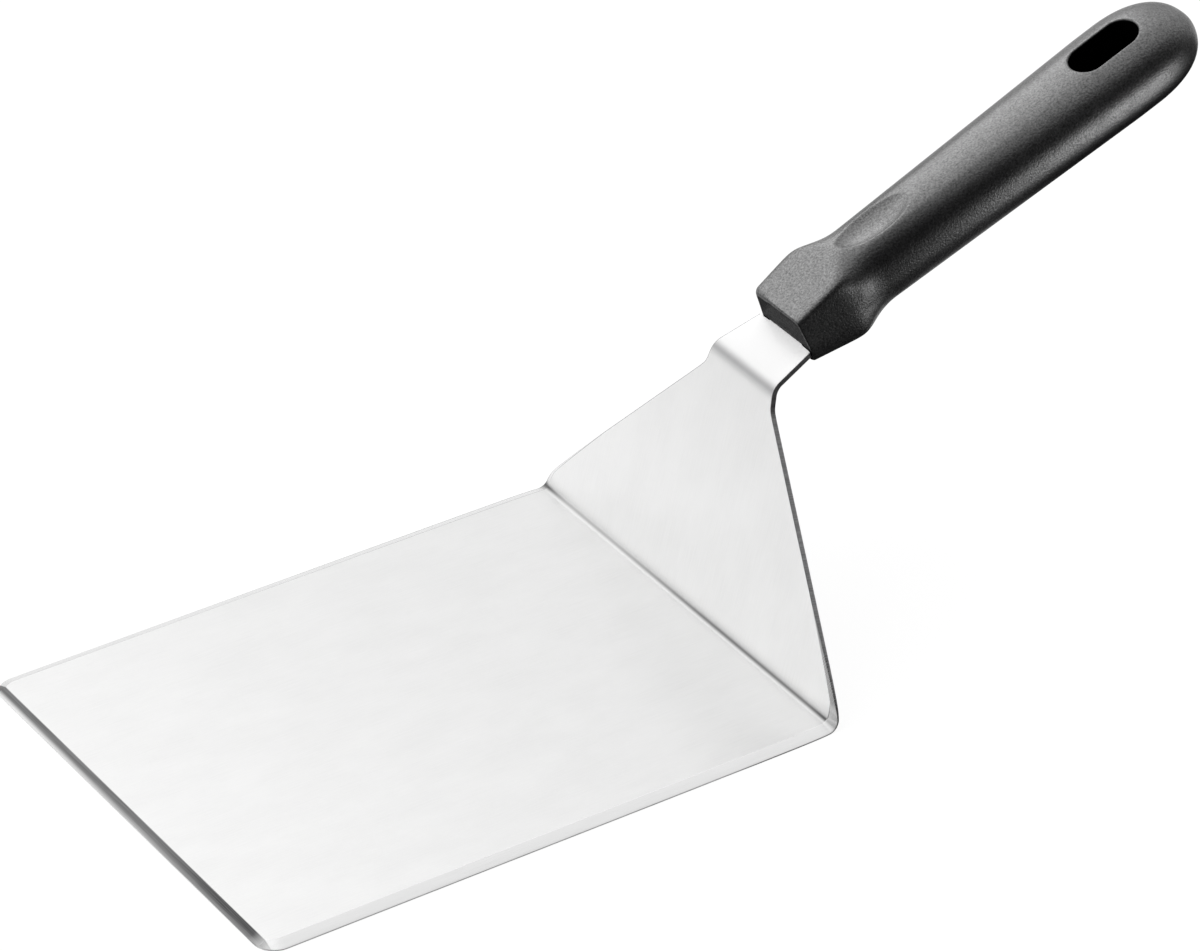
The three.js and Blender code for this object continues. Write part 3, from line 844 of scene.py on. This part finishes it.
def add_node(tree, kind, values=None, **settings):
    """Adds a node, sets its own settings and the values of its sockets, and gives it back."""
    made = tree.nodes.new(kind)
    for name, value in settings.items():
        setattr(made, name, value)
    for name, value in (values or {}).items():
        made.inputs[name].default_value = value
    return made


def feed(tree, socket, value):
    """Gives an input another node's output, or a value of its own."""
    if isinstance(value, bpy.types.NodeSocket):
        tree.links.new(value, socket)
    else:
        socket.default_value = value


def reckon(tree, operation, first, second=None):
    """The result of a sum on one or two numbers or sockets."""
    made = add_node(tree, "ShaderNodeMath", operation=operation)
    feed(tree, made.inputs[0], first)
    if second is not None:
        feed(tree, made.inputs[1], second)
    return made.outputs[0]


def ranged(tree, value, source, target):
    """Carries a value from one range to another, clamped."""
    made = add_node(tree, "ShaderNodeMapRange", {
        "From Min": source[0], "From Max": source[1], "To Min": target[0], "To Max": target[1],
    })
    tree.links.new(value, made.inputs["Value"])
    return made.outputs["Result"]


def mix_number(tree, factor, first, second):
    """A mix of two numbers or sockets."""
    made = add_node(tree, "ShaderNodeMix", data_type="FLOAT")
    for socket, value in zip((made.inputs[0], made.inputs[2], made.inputs[3]), (factor, first, second)):
        feed(tree, socket, value)
    return made.outputs[0]


def mix_colour(tree, factor, first, second, way="MIX"):
    """A mix of two colours, each given as a colour or as a socket."""
    made = add_node(tree, "ShaderNodeMix", data_type="RGBA", blend_type=way)
    feed(tree, made.inputs["Factor"], factor)
    for socket, value in ((made.inputs[6], first), (made.inputs[7], second)):
        feed(tree, socket, value if isinstance(value, bpy.types.NodeSocket) else (*value, 1))
    return made.outputs[2]


def split(tree, source):
    """The three coordinates of a vector."""
    made = add_node(tree, "ShaderNodeSeparateXYZ")
    tree.links.new(source, made.inputs[0])
    return made.outputs


def mask(tree, name):
    """One of a piece's masks, kept on its points."""
    return add_node(tree, "ShaderNodeAttribute", attribute_name=name).outputs["Fac"]


def noise(tree, source, scale, detail, roughness=0.5):
    """Noise at a scale, as a number that is mostly from 0.3 to 0.7."""
    made = add_node(tree, "ShaderNodeTexNoise", {"Scale": scale, "Detail": detail, "Roughness": roughness})
    tree.links.new(source, made.inputs["Vector"])
    return made.outputs["Fac"]


def new_material(name):
    """A material with its tree and its shader."""
    material = bpy.data.materials.new(name)
    material.use_nodes = True
    tree = material.node_tree
    return material, tree, tree.nodes["Principled BSDF"]


def add_bump(tree, shader, height, strength, distance):
    """Gives a shader the bump of a height."""
    bump = add_node(tree, "ShaderNodeBump", {"Strength": strength, "Distance": distance})
    tree.links.new(height, bump.inputs["Height"])
    tree.links.new(bump.outputs["Normal"], shader.inputs["Normal"])


def times(value, tint):
    """A colour times a number, with no part of it above 1."""
    return [min(value * part, 1) for part in tint]


# Materials

FULL = (0.0, 1.0)
NOISE_SPAN = (0.3, 0.7)
NOISE_CORE = (0.35, 0.65)
NOISE_ROUGHNESS = 0.6
# Waves to the metre along and across the sheet, and the detail, of each pattern in the steel.
FINE_STREAKS = ((90, 4200, 1), 3.0)
BROAD_CLOUDS = ((45, 90, 1), 4.0)
FRONT_GRIND = ((5200, 60, 1), 2.0)
# Painted light and shade along the sheet: share of the steel's colour at distances from the front edge to the
# tang.
PAINTED_LIGHT_ALONG_SHEET = (
    (0 * MM, 1.06), (70 * MM, 0.99), (120 * MM, 0.955), (157 * MM, 0.945),
    (163 * MM, 1.035), (190 * MM, 0.98), (224 * MM, 0.915),
)
# Tones of the patterns, as shares of each part's colour.
STREAK_TONE = 0.93
CLOUD_TONE = 1.05
CLOUD_AMOUNT = (0.0, 0.35)
GRIND_TONES = (0.7, 1.6)
EDGE_TONES = (0.8, 1.3)
# The tang's painted light is weaker by this at the bend and full at the handle, against the handle's shade.
TANG_LIGHT_AT_BEND = 0.84
STEEL_ROUGHNESS = (0.30, 0.42)
BEVEL_ROUGHNESS = (1.0, 0.6)
TANG_METAL = (1.0, 0.08)
# How far the brushing stretches the highlights, and which way, as a share of a turn.
BRUSHING = 0.8
BRUSHING_TURN = 0.25
# Strength and depth of the bump.
STEEL_BUMP = (0.06, 0.05 * MM)
# The plastic's coarser grain is larger than the fine one by the inverse of this.
COARSE_GRAIN = 0.12
GRAIN_DETAIL = 2.0
GRAIN_TONES = (0.5, 1.8)
PLASTIC_ROUGHNESS = (0.34, 0.40)
PLASTIC_IOR = 2.2
# Inside the slot the shine goes down too, as painted shade.
SLOT_SHINE = (0.5, 0.0)
# Dull places shine less, which paints shade on them.
DULL_SHINE = (1.0, 0.009)
GRAIN_SHINE = (0.6, 1.4)
PLASTIC_BUMP = (0.5, 0.2 * MM)


def streaks(tree, source, pattern):
    """Noise that is stretched along one way of the sheet."""
    scale, detail = pattern
    mapping = add_node(tree, "ShaderNodeMapping", {"Scale": scale})
    tree.links.new(source, mapping.inputs["Vector"])
    return noise(tree, mapping.outputs["Vector"], 1.0, detail, NOISE_ROUGHNESS)


def slow_tone(tree, along, steps):
    """A grey that follows the steps of a table along the sheet."""
    last = steps[-1][0]
    ramp = add_node(tree, "ShaderNodeValToRGB")
    stops = ramp.color_ramp.elements
    while len(stops) < len(steps):
        stops.new(1.0)
    for stop, (place, tone) in zip(stops, steps):
        stop.position = place / last
        stop.color = (tone, tone, tone, 1)
    tree.links.new(ranged(tree, along, (0, last), FULL), ramp.inputs["Fac"])
    return ramp.outputs["Color"]


def steel_material(s):
    """Brushed steel: fine streaks along the sheet in colour, roughness and bump, with soft clouds, slow tones
    of painted light and shade, a near white tang of painted light, ground bevels in their own tone, and
    painted shade on the front bevel, the cut edges, the fold and the bend."""
    material, tree, shader = new_material("brushed_steel")
    links = tree.links
    surface = add_node(tree, "ShaderNodeUVMap", uv_map="sheet").outputs["UV"]
    along = split(tree, surface)["X"]
    fine = streaks(tree, surface, FINE_STREAKS)
    clouds = ranged(tree, streaks(tree, surface, BROAD_CLOUDS), NOISE_CORE, CLOUD_AMOUNT)
    grind = ranged(tree, streaks(tree, surface, FRONT_GRIND), NOISE_CORE, FULL)
    streak = ranged(tree, fine, NOISE_SPAN, FULL)
    brushed = mix_colour(tree, streak, times(STREAK_TONE, s.steel), s.steel)
    brushed = mix_colour(tree, clouds, brushed, times(CLOUD_TONE, s.steel))
    # Painted light and shade along the sheet.
    brushed = mix_colour(tree, 1.0, brushed, slow_tone(tree, along, PAINTED_LIGHT_ALONG_SHEET), "MULTIPLY")
    bend_place = s.blade_length + s.riser_length
    shown = ranged(tree, along, (bend_place, bend_place + s.tang_shown), FULL)
    # The front bevel's painted shade, streaked along the grinding.
    front = mix_colour(tree, grind, *(times(tone, s.front_bevel_shade_tone) for tone in GRIND_TONES))
    # Cut edges, darker as painted shade, streaked like the faces.
    edge = mix_colour(tree, streak, *(times(tone, s.cut_edge_shade) for tone in EDGE_TONES))
    # Painted light on the tang, brighter towards the handle against the shade that the handle casts.
    tang = mix_colour(tree, shown, times(TANG_LIGHT_AT_BEND, s.tang_painted_light), s.tang_painted_light)
    layers = (
        ("tang", tang), ("bevel", s.bevel_steel), ("fold", s.fold_painted_shade),
        ("bend", s.bend_painted_shade), ("front", front), ("edge", edge),
    )
    full = brushed
    for name, tint in layers:
        full = mix_colour(tree, mask(tree, name), full, tint)
    links.new(full, shader.inputs["Base Color"])
    # Nearly matte on the tang, so that its painted light shows.
    links.new(ranged(tree, mask(tree, "tang"), FULL, TANG_METAL), shader.inputs["Metallic"])
    rough = ranged(tree, fine, NOISE_SPAN, STEEL_ROUGHNESS)
    smoother = ranged(tree, mask(tree, "bevel"), FULL, BEVEL_ROUGHNESS)
    links.new(reckon(tree, "MULTIPLY", rough, smoother), shader.inputs["Roughness"])
    shader.inputs["Anisotropic"].default_value = BRUSHING
    shader.inputs["Anisotropic Rotation"].default_value = BRUSHING_TURN
    tangent = add_node(tree, "ShaderNodeTangent", direction_type="UV_MAP", uv_map="sheet")
    links.new(tangent.outputs["Tangent"], shader.inputs["Tangent"])
    add_bump(tree, shader, fine, *STEEL_BUMP)
    return material


def plastic_material(h):
    """Black moulded plastic with a fine grain in its colour, shine and bump and a coarser one in its
    roughness. Inside the slot it is painted darker and shines less, as painted shade, and where it is dull
    it shines less, which paints shade."""
    material, tree, shader = new_material("grained_plastic")
    links = tree.links
    place = add_node(tree, "ShaderNodeTexCoord").outputs["Object"]
    grain = noise(tree, place, 1 / h.grain, GRAIN_DETAIL, NOISE_ROUGHNESS)
    coarse = noise(tree, place, COARSE_GRAIN / h.grain, GRAIN_DETAIL)
    slot = mask(tree, "slot")
    speckle = ranged(tree, grain, NOISE_SPAN, FULL)
    speckled = mix_colour(tree, speckle, *(times(tone, h.plastic) for tone in GRAIN_TONES))
    links.new(mix_colour(tree, slot, speckled, h.slot_painted_shade), shader.inputs["Base Color"])
    links.new(ranged(tree, coarse, NOISE_SPAN, PLASTIC_ROUGHNESS), shader.inputs["Roughness"])
    shine = ranged(tree, slot, FULL, SLOT_SHINE)
    # The dull mask takes shine away, as painted shade.
    shine = reckon(tree, "MULTIPLY", shine, ranged(tree, mask(tree, "dull"), FULL, DULL_SHINE))
    shine = reckon(tree, "MULTIPLY", shine, ranged(tree, grain, NOISE_SPAN, GRAIN_SHINE))
    links.new(shine, shader.inputs["Specular IOR Level"])
    shader.inputs["IOR"].default_value = PLASTIC_IOR
    add_bump(tree, shader, grain, *PLASTIC_BUMP)
    return material


# Stage

FLOOR_HALF = 4.0
FLOOR_POINTS = 9
FLOOR_DROP = 0.02 * MM
FLOOR_GLOW = 1.12
FLOOR_ROUGHNESS = 0.9
# Share of the floor's glow that gives way to the light that falls on it, without and with the camera
# looking, so that a shadow shows.
FLOOR_SHADOW = (0, 0.2)
# In reflections the floor goes from dark to bright over this stretch of Y, which lies further back
# to the right of the blade, but less so round the neck.
FLOOR_TURN = (-0.09, -0.04)
FLOOR_TONES = (0.04, 1.08)
RIGHT_START = (0.05, 0.10)
RIGHT_BACK = (0, 0.16)
NECK_X = 0.225
NECK_HALF = (0, 0.045)
NECK_FORWARD = (0.14, 0)
# The sky by the parts of its direction: bright behind, dark on the camera's side.
SKY_BEHIND = (-0.5, 0.1)
SKY_TONES = (0.03, 1.1)
# It is brighter at the far left, and high up in the middle.
SKY_LEFT = (-0.62, -0.5)
LEFT_MORE = (0.4, 0)
LEFT_BEHIND = (0.1, 0.4)
TOP_SHIFT = 0.1
SKY_TOP_SIDE = (0.2, 0.5)
TOP_MORE = (0.22, 0)
SKY_TOP_HEIGHT = (0.45, 0.62)
# Near the horizon it is darker, but for the left.
HORIZON_HEIGHT = (0.2, 0.42)
HORIZON_TONES = (0.7, 1.0)
HORIZON_LEFT = 0.95
# Name, place, target, size, setting of its power, the piece that it lights, and whether that mirrors it.
LAMPS = (
    ("back_softbox", (0.4, 1.1, 0.85), (0.2, 0, 0.1), (0.4, 0.6), "key_power", "moulded_handle", True),
    ("left_softbox", (-0.28, 0.84, 0.85), (0.12, 0, 0.085), (0.6, 0.6), "left_power", "moulded_handle", True),
    ("front_strip", (0.32, -0.17, 0.04), (0.37, 0, 0.1), (0.16, 0.09), "strip_power", "moulded_handle", True),
    ("sheet_fill", (-0.5, -0.45, 1.1), (0.1, 0, 0.07), (0.4, 0.4), "fill_power", "steel_sheet", False),
)


def seen_directly(tree, path):
    """1 for camera, glossy and transmission rays, and 0 for the light that falls on things."""
    total = path["Is Camera Ray"]
    for name in ("Is Glossy Ray", "Is Transmission Ray"):
        total = reckon(tree, "MAXIMUM", total, path[name])
    return total


def floor_material(white):
    """White floor: mostly its own white where it is seen, and the rest lit, so that it keeps a shadow.
    In reflections it is bright behind the object and dark on the camera's side."""
    material, tree, shader = new_material("white_floor")
    links = tree.links
    shader.inputs["Base Color"].default_value = (*white, 1)
    shader.inputs["Roughness"].default_value = FLOOR_ROUGHNESS
    shader.inputs["Specular IOR Level"].default_value = 0.0
    place = split(tree, add_node(tree, "ShaderNodeTexCoord").outputs["Object"])
    off_neck = reckon(tree, "ABSOLUTE", reckon(tree, "SUBTRACT", place["X"], NECK_X))
    back = reckon(tree, "SUBTRACT", ranged(tree, place["X"], RIGHT_START, RIGHT_BACK),
                  ranged(tree, off_neck, NECK_HALF, NECK_FORWARD))
    reflected = ranged(tree, reckon(tree, "SUBTRACT", place["Y"], back), FLOOR_TURN, FLOOR_TONES)
    path = add_node(tree, "ShaderNodeLightPath").outputs
    glow = add_node(tree, "ShaderNodeEmission", {"Color": (1, 1, 1, 1)})
    links.new(mix_number(tree, path["Is Glossy Ray"], FLOOR_GLOW, reflected), glow.inputs["Strength"])
    shadow = ranged(tree, path["Is Camera Ray"], FULL, FLOOR_SHADOW)
    mixed = add_node(tree, "ShaderNodeMixShader")
    links.new(reckon(tree, "SUBTRACT", seen_directly(tree, path), shadow), mixed.inputs["Fac"])
    links.new(shader.outputs["BSDF"], mixed.inputs[1])
    links.new(glow.outputs["Emission"], mixed.inputs[2])
    links.new(mixed.outputs["Shader"], tree.nodes["Material Output"].inputs["Surface"])
    return material


def make_floor(white):
    """A flat square grid just below the blade's underside."""
    steps = np.linspace(-FLOOR_HALF, FLOOR_HALF, FLOOR_POINTS)
    x, y = np.meshgrid(steps, steps, indexing="ij")
    points = np.stack([x, y, np.full_like(x, -FLOOR_DROP)], axis=-1).reshape(-1, 3)
    quads = grid_quads(FLOOR_POINTS, FLOOR_POINTS, False)
    mesh = bpy.data.meshes.new("floor")
    mesh.from_pydata(points.tolist(), [], quads[:, ::-1].tolist())
    mesh.materials.append(floor_material(white))
    mesh.update()
    floor = bpy.data.objects.new("floor", mesh)
    bpy.context.scene.collection.objects.link(floor)


def make_world():
    """White where the camera looks. In the light and the reflections it is bright behind the object,
    brighter at the far left and high up, darker near the horizon, and dark on the camera's side."""
    world = bpy.data.worlds.new("studio")
    bpy.context.scene.world = world
    world.use_nodes = True
    tree = world.node_tree
    way = split(tree, add_node(tree, "ShaderNodeTexCoord").outputs["Generated"])
    behind = ranged(tree, way["Y"], SKY_BEHIND, SKY_TONES)
    left = reckon(tree, "MULTIPLY", ranged(tree, way["X"], SKY_LEFT, LEFT_MORE),
                  ranged(tree, way["Y"], LEFT_BEHIND, FULL))
    off_top = reckon(tree, "ABSOLUTE", reckon(tree, "ADD", way["X"], TOP_SHIFT))
    above = reckon(tree, "MULTIPLY", ranged(tree, off_top, SKY_TOP_SIDE, TOP_MORE),
                   ranged(tree, way["Z"], SKY_TOP_HEIGHT, FULL))
    brighter = reckon(tree, "ADD", reckon(tree, "ADD", left, above), 1.0)
    horizon = mix_number(tree, ranged(tree, way["X"], SKY_LEFT, FULL), HORIZON_LEFT,
                         ranged(tree, way["Z"], HORIZON_HEIGHT, HORIZON_TONES))
    light = reckon(tree, "MULTIPLY", reckon(tree, "MULTIPLY", behind, horizon), brighter)
    path = add_node(tree, "ShaderNodeLightPath").outputs
    back = tree.nodes["Background"]
    back.inputs["Color"].default_value = (1, 1, 1, 1)
    tree.links.new(mix_number(tree, path["Is Camera Ray"], light, 1.0), back.inputs["Strength"])


def make_lamp(name, place, target, size, power, receivers, mirrored):
    """A rectangular softbox that faces a target, lights its receivers and isn't seen by the camera."""
    data = bpy.data.lights.new(name, "AREA")
    data.shape = "RECTANGLE"
    data.size, data.size_y = size
    data.energy = power
    lamp = bpy.data.objects.new(name, data)
    lamp.location = place
    way = np.array(target) - np.array(place)
    heading = math.atan2(way[0], way[1])
    dip = math.atan2(-way[2], math.hypot(way[0], way[1]))
    lamp.rotation_euler = (QUARTER - dip, 0, -heading)
    lamp.visible_camera = False
    lamp.visible_glossy = mirrored
    lamp.light_linking.receiver_collection = receivers
    bpy.context.scene.collection.objects.link(lamp)


def make_camera(g):
    """A long lens at the photograph's place, level from side to side."""
    data = bpy.data.cameras.new("camera")
    data.lens = g.camera_lens
    data.sensor_width = 36
    data.clip_end = 50
    camera = bpy.data.objects.new("camera", data)
    camera.location = g.camera_place
    camera.rotation_euler = (QUARTER - g.camera_dip, 0, -g.camera_heading)
    bpy.context.scene.collection.objects.link(camera)
    bpy.context.scene.camera = camera


# Operators and panel


class SPATULA_OT_make_sheet(bpy.types.Operator):
    """Make the bent steel sheet: blade, riser and tang"""

    bl_idname = "spatula.make_sheet"
    bl_label = "Make Sheet"

    def execute(self, context):
        s = context.scene.spatula_sheet
        place = sheet_places(s)
        grid = sheet_surface(place, s)
        rows, count = grid.shape[:2]
        points = grid.reshape(-1, 3)
        quads = grid_quads(rows, count, True)[:, ::-1]
        ring = np.arange(count)
        caps = [ring.tolist(), (ring[::-1] + (rows - 1) * count).tolist()]
        faces = quads.tolist() + caps
        mesh = make_object("steel_sheet", points, faces, steel_material(s), "blade")
        corners = np.zeros(len(mesh.loops), dtype=int)
        mesh.loops.foreach_get("vertex_index", corners)
        uv = np.stack([np.repeat(place, count)[corners], points[corners, 1]], axis=-1)
        layer = mesh.uv_layers.new(name="sheet")
        layer.data.foreach_set("uv", uv.reshape(-1))
        for name, values in sheet_masks(place, grid, s).items():
            keep_mask(mesh, name, values)
        return {"FINISHED"}


class SPATULA_OT_make_handle(bpy.types.Operator):
    """Make the moulded handle with its bolster, dimple and hanging slot"""

    bl_idname = "spatula.make_handle"
    bl_label = "Make Handle"

    def execute(self, context):
        s = context.scene.spatula_sheet
        h = context.scene.spatula_handle
        points, slot, (quads, fans) = used_only(*handle_surface(s, h))
        dull = handle_shine_shade(points, h)
        points = place_handle(points, s, h)
        faces = quads.tolist() + fans.tolist()
        mesh = make_object("moulded_handle", points, faces, plastic_material(h), "handle")
        keep_mask(mesh, "slot", slot)
        keep_mask(mesh, "dull", dull)
        return {"FINISHED"}


class SPATULA_OT_make_stage(bpy.types.Operator):
    """Make the camera, the lamps, the world and the white floor"""

    bl_idname = "spatula.make_stage"
    bl_label = "Make Stage"

    def execute(self, context):
        g = context.scene.spatula_stage
        make_camera(g)
        make_floor(g.floor_white)
        make_world()
        receivers = {}
        for piece in ("moulded_handle", "steel_sheet"):
            receivers[piece] = bpy.data.collections.new(piece + "_light")
            receivers[piece].objects.link(bpy.data.objects[piece])
        for name, place, target, size, power, piece, mirrored in LAMPS:
            make_lamp(name, place, target, size, getattr(g, power), receivers[piece], mirrored)
        context.scene.view_settings.view_transform = "Standard"
        return {"FINISHED"}


class SPATULA_PT_parts(bpy.types.Panel):
    """Lists the spatula's pieces and their settings."""

    bl_label = "Barbecue Spatula"
    bl_space_type = "VIEW_3D"
    bl_region_type = "UI"
    bl_category = "Spatula"

    def draw(self, context):
        groups = (
            ("spatula.make_sheet", context.scene.spatula_sheet),
            ("spatula.make_handle", context.scene.spatula_handle),
            ("spatula.make_stage", context.scene.spatula_stage),
        )
        for operator, settings in groups:
            box = self.layout.box()
            box.operator(operator)
            for name in settings.__annotations__:
                box.prop(settings, name)


CLASSES = (
    SheetSettings,
    HandleSettings,
    StageSettings,
    SPATULA_OT_make_sheet,
    SPATULA_OT_make_handle,
    SPATULA_OT_make_stage,
    SPATULA_PT_parts,
)


def register():
    """Registers the classes and hangs the settings on the scene."""
    for made in CLASSES:
        bpy.utils.register_class(made)
    bpy.types.Scene.spatula_sheet = PointerProperty(type=SheetSettings)
    bpy.types.Scene.spatula_handle = PointerProperty(type=HandleSettings)
    bpy.types.Scene.spatula_stage = PointerProperty(type=StageSettings)


def unregister():
    """Takes the settings off the scene and unregisters the classes."""
    del bpy.types.Scene.spatula_stage
    del bpy.types.Scene.spatula_handle
    del bpy.types.Scene.spatula_sheet
    for made in reversed(CLASSES):
        bpy.utils.unregister_class(made)


def main():
    """Makes every piece."""
    register()
    bpy.ops.spatula.make_sheet()
    bpy.ops.spatula.make_handle()
    bpy.ops.spatula.make_stage()


if __name__ == "__main__":
    main()
